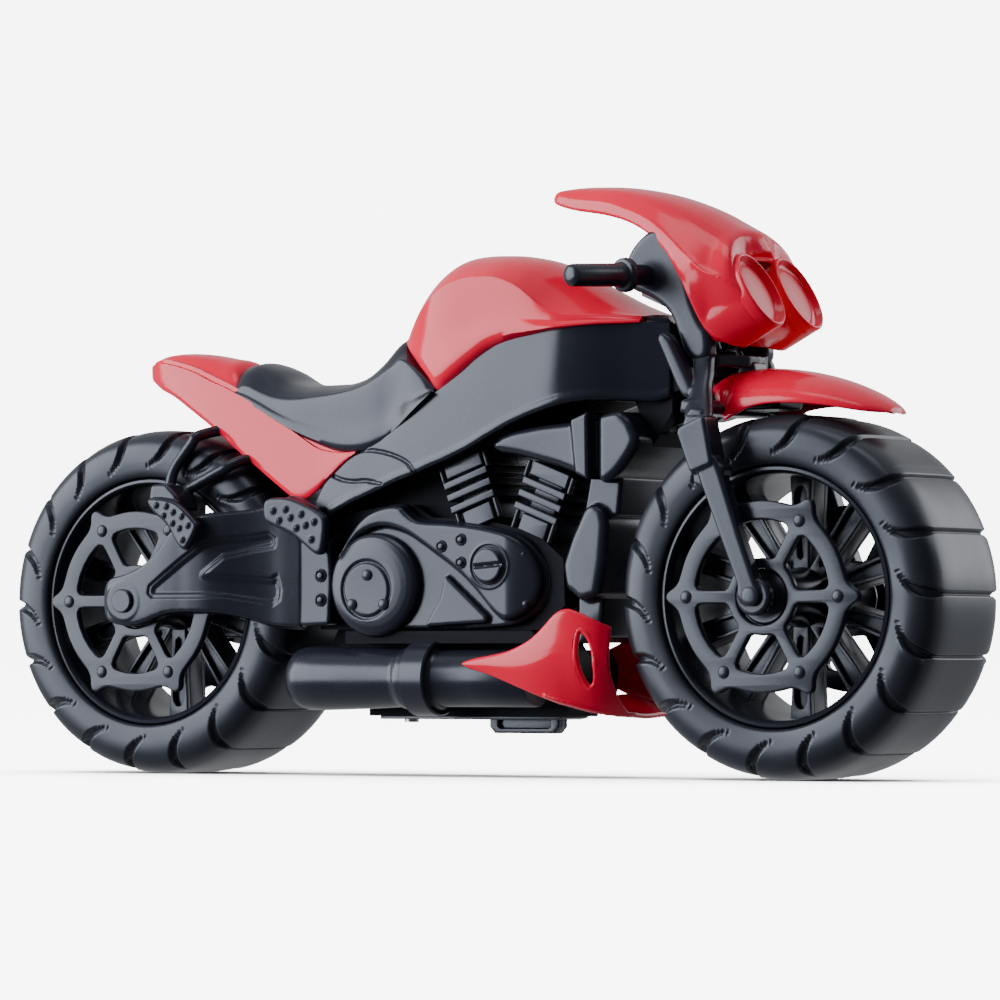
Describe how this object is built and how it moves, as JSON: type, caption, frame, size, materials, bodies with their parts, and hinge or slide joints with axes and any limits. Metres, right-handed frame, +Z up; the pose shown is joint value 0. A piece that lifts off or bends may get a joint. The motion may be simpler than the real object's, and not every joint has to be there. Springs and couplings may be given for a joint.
{
  "type": "rc motorcycle",
  "caption": "Small radio-controlled naked sport motorcycle with wide tyres, steerable fork, headlight cowl, finned twin engine body and geared rear drive.",
  "frame": {"origin": "on the ground, midway between the two wheel hubs, on the centre plane", "axes": "+X forwards along the motorcycle, +Y to the rider's left, +Z up"},
  "size_m": [0.3334, 0.1022, 0.1787],
  "materials": {
    "red_plastic": "gloss moulded",
    "tyre": "satin moulded rubber",
    "gear_nylon": "natural nylon",
    "brass": "turned",
    "steel": "turned",
    "circuit_board": "solder mask",
    "battery_sleeve": "printed sleeve",
    "seat_plastic": "satin moulded",
    "switch_plastic": "satin",
    "wheel_plastic": "satin moulded",
    "black_plastic": "satin moulded ABS"
  },
  "bodies": {
    "chassis": {"air_box": "black_plastic", "backbone": "black_plastic", "battery_cells": "battery_sleeve", "battery_door": "black_plastic", "battery_door_screw": "steel", "belly_pan": "black_plastic", "belly_spoiler": "red_plastic", "cover_screws": "black_plastic", "crankcase_left": "black_plastic", "crankcase_right": "black_plastic", "cylinder_front": "black_plastic", "cylinder_rear": "black_plastic", "drive_motor": "steel", "frame_left": "black_plastic", "frame_right": "black_plastic", "fuel_tank": "red_plastic", "gearbox_cover": "black_plastic", "idler_pins": "steel", "muffler_bands": "black_plastic", "mufflers": "black_plastic", "oil_cooler": "black_plastic", "pillion_footrests": "black_plastic", "primary_covers": "black_plastic", "pulley_covers": "black_plastic", "rear_axle_bushes": "brass", "receiver_board": "circuit_board", "rider_footplates": "black_plastic", "seat": "seat_plastic", "steering_servo": "black_plastic", "swingarm_bolts": "black_plastic", "swingarm_left": "black_plastic", "swingarm_right": "black_plastic", "tail_cowl": "red_plastic"},
    "fork": {"steering_stem": "black_plastic", "fork_crown": "black_plastic", "fork_leg_right": "black_plastic", "fork_leg_left": "black_plastic", "front_axle": "black_plastic", "upper_clamp": "black_plastic", "cowl_bracket": "black_plastic", "handlebar": "black_plastic", "handlebar_grips": "black_plastic", "front_cowl": "red_plastic", "headlight_lenses": "red_plastic", "front_mudguard": "red_plastic"},
    "front_wheel": {"front_tyre": "tyre", "front_rim": "wheel_plastic", "front_rotors": "wheel_plastic", "front_rotor_bolts": "wheel_plastic"},
    "rear_wheel": {"rear_tyre": "tyre", "rear_rim": "wheel_plastic", "rear_rotors": "wheel_plastic", "rear_rotor_bolts": "wheel_plastic", "rear_axle": "steel", "axle_gear": "gear_nylon"},
    "idler_rear": {"idler_gear_rear": "gear_nylon"},
    "idler_front": {"idler_gear_front": "gear_nylon"},
    "motor_pinion": {"motor_pinion": "brass"},
    "servo_gear": {"servo_gear": "gear_nylon"},
    "power_switch": {"power_switch": "switch_plastic"}
  },
  "joints": [
    {"name": "steering", "type": "hinge", "parent": "chassis", "child": "fork", "pos_m": [0.078, 0, 0.13], "axis": [-0.3329, 0, 0.943], "range_deg": [-13, 13]},
    {"name": "front_wheel_spin", "type": "hinge", "parent": "fork", "child": "front_wheel", "pos_m": [0.11268, 0, 0.054], "axis": [0, 1, 0], "continuous": true},
    {"name": "rear_wheel_spin", "type": "hinge", "parent": "chassis", "child": "rear_wheel", "pos_m": [-0.11268, 0, 0.054], "axis": [0, 1, 0], "continuous": true},
    {"name": "idler_rear_spin", "type": "hinge", "parent": "chassis", "child": "idler_rear", "pos_m": [-0.0922, 0.032, 0.0649], "axis": [0, 1, 0], "continuous": true},
    {"name": "idler_front_spin", "type": "hinge", "parent": "chassis", "child": "idler_front", "pos_m": [-0.0666, 0.032, 0.0649], "axis": [0, 1, 0], "continuous": true},
    {"name": "motor_spin", "type": "hinge", "parent": "chassis", "child": "motor_pinion", "pos_m": [-0.04902, 0.032, 0.0643], "axis": [0, 1, 0], "continuous": true},
    {"name": "servo_spin", "type": "hinge", "parent": "chassis", "child": "servo_gear", "pos_m": [0.06381, 0, 0.12499], "axis": [-0.3329, 0, 0.943], "range_deg": [-19.6, 19.6]},
    {"name": "switch_slide", "type": "slide", "parent": "chassis", "child": "power_switch", "axis": [0, 0, 1], "range_m": [0, 0.004]}
  ],
  "couplings": [
    {"joint": "idler_rear_spin", "follows": "rear_wheel_spin", "ratio": -0.8125},
    {"joint": "idler_front_spin", "follows": "rear_wheel_spin", "ratio": 0.8125},
    {"joint": "motor_spin", "follows": "rear_wheel_spin", "ratio": -2.1667},
    {"joint": "servo_spin", "follows": "steering", "ratio": -1.5}
  ]
}
